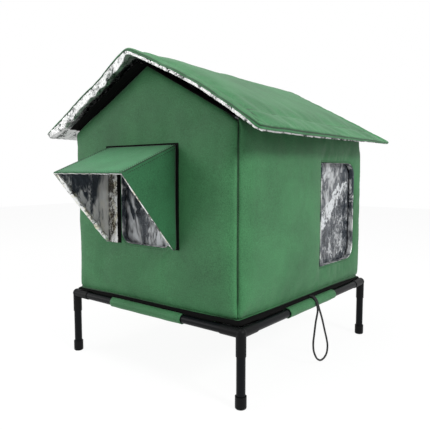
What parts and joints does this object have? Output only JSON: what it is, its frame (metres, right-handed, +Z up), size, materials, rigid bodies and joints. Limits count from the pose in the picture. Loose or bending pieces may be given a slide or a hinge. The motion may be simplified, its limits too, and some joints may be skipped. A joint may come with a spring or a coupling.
{
  "type": "outdoor cat house",
  "caption": "Padded gable-roofed outdoor cat house of green cloth with a foil lining, an awning over the front door, a side door and a raised pipe stand with capped feet.",
  "frame": {"origin": "on the ground, at the middle of the whole part's footprint, which runs from the awning's front edge to the roof's rear edge", "axes": "+X to the right seen from the front, towards the side door; +Y to the back, away from the front door and the awning; +Z up"},
  "size_m": [0.702, 0.833, 0.778],
  "materials": {
    "green_cloth": "woven coated polyester, satin",
    "foil_lining": "crinkled aluminised film on foam",
    "foam_pad": "closed-cell foam sheet, matt",
    "black_pipe": "smooth black pipe, satin",
    "black_fitting": "moulded black fitting, satin",
    "black_tape": "hook-and-loop tape and binding, matt",
    "clear_film": "clear soft film, glossy",
    "black_cord": "braided cord, matt"
  },
  "bodies": {
    "house": {"leg_front_left": "black_pipe", "leg_front_right": "black_pipe", "leg_rear_left": "black_pipe", "leg_rear_right": "black_pipe", "rail_front": "black_pipe", "rail_rear": "black_pipe", "rail_left": "black_pipe", "rail_right": "black_pipe", "connector_front_left": "black_fitting", "connector_front_right": "black_fitting", "connector_rear_left": "black_fitting", "connector_rear_right": "black_fitting", "foot_cap_front_left": "black_fitting", "foot_cap_front_right": "black_fitting", "foot_cap_rear_left": "black_fitting", "foot_cap_rear_right": "black_fitting", "base_cloth": "green_cloth", "floor_binding": "black_tape", "floor_foam": "foam_pad", "floor_lining": "foil_lining", "front_wall_cover": "green_cloth", "front_wall_foam": "foam_pad", "front_wall_lining": "foil_lining", "rear_wall_cover": "green_cloth", "rear_wall_foam": "foam_pad", "rear_wall_lining": "foil_lining", "left_wall_cover": "green_cloth", "left_wall_foam": "foam_pad", "left_wall_lining": "foil_lining", "right_wall_cover": "green_cloth", "right_wall_foam": "foam_pad", "right_wall_lining": "foil_lining", "gable_hook_tape": "black_tape", "door_hook_tape": "black_tape", "front_curtain_strip": "black_tape", "side_curtain_strip": "black_tape", "tether_tab": "black_tape", "tether_loop": "black_cord"},
    "roof_left_half": {"roof_left_cover": "green_cloth", "roof_left_foam": "foam_pad", "roof_left_lining": "foil_lining", "roof_left_tape": "black_tape"},
    "roof_right_half": {"roof_right_cover": "green_cloth", "roof_right_foam": "foam_pad", "roof_right_lining": "foil_lining", "roof_right_tape": "black_tape"},
    "awning_hood": {"awning_top": "green_cloth", "awning_cheek_left": "green_cloth", "awning_cheek_right": "green_cloth", "awning_lining": "foil_lining", "awning_flanges": "foil_lining"},
    "front_door_curtain": {"front_curtain": "clear_film"},
    "side_door_curtain": {"side_curtain": "clear_film"}
  },
  "joints": [
    {"name": "roof_lift", "type": "slide", "parent": "house", "child": "roof_left_half", "axis": [0, 0, 1], "range_m": [0, 0.25]},
    {"name": "roof_fold", "type": "hinge", "parent": "roof_left_half", "child": "roof_right_half", "pos_m": [0, 0.0585, 0.77807], "axis": [0, -1, 0], "range_deg": [0, 170]},
    {"name": "awning_raise", "type": "hinge", "parent": "house", "child": "awning_hood", "pos_m": [-0.021, -0.2582, 0.5631], "axis": [-1, 0, 0], "range_deg": [0, 75]},
    {"name": "front_curtain_swing", "type": "hinge", "parent": "house", "child": "front_door_curtain", "pos_m": [-0.003, -0.2399, 0.5581], "axis": [1, 0, 0], "range_deg": [0, 80]},
    {"name": "side_curtain_swing", "type": "hinge", "parent": "house", "child": "side_door_curtain", "pos_m": [0.2584, 0.218, 0.5391], "axis": [0, 1, 0], "range_deg": [0, 80]}
  ]
}
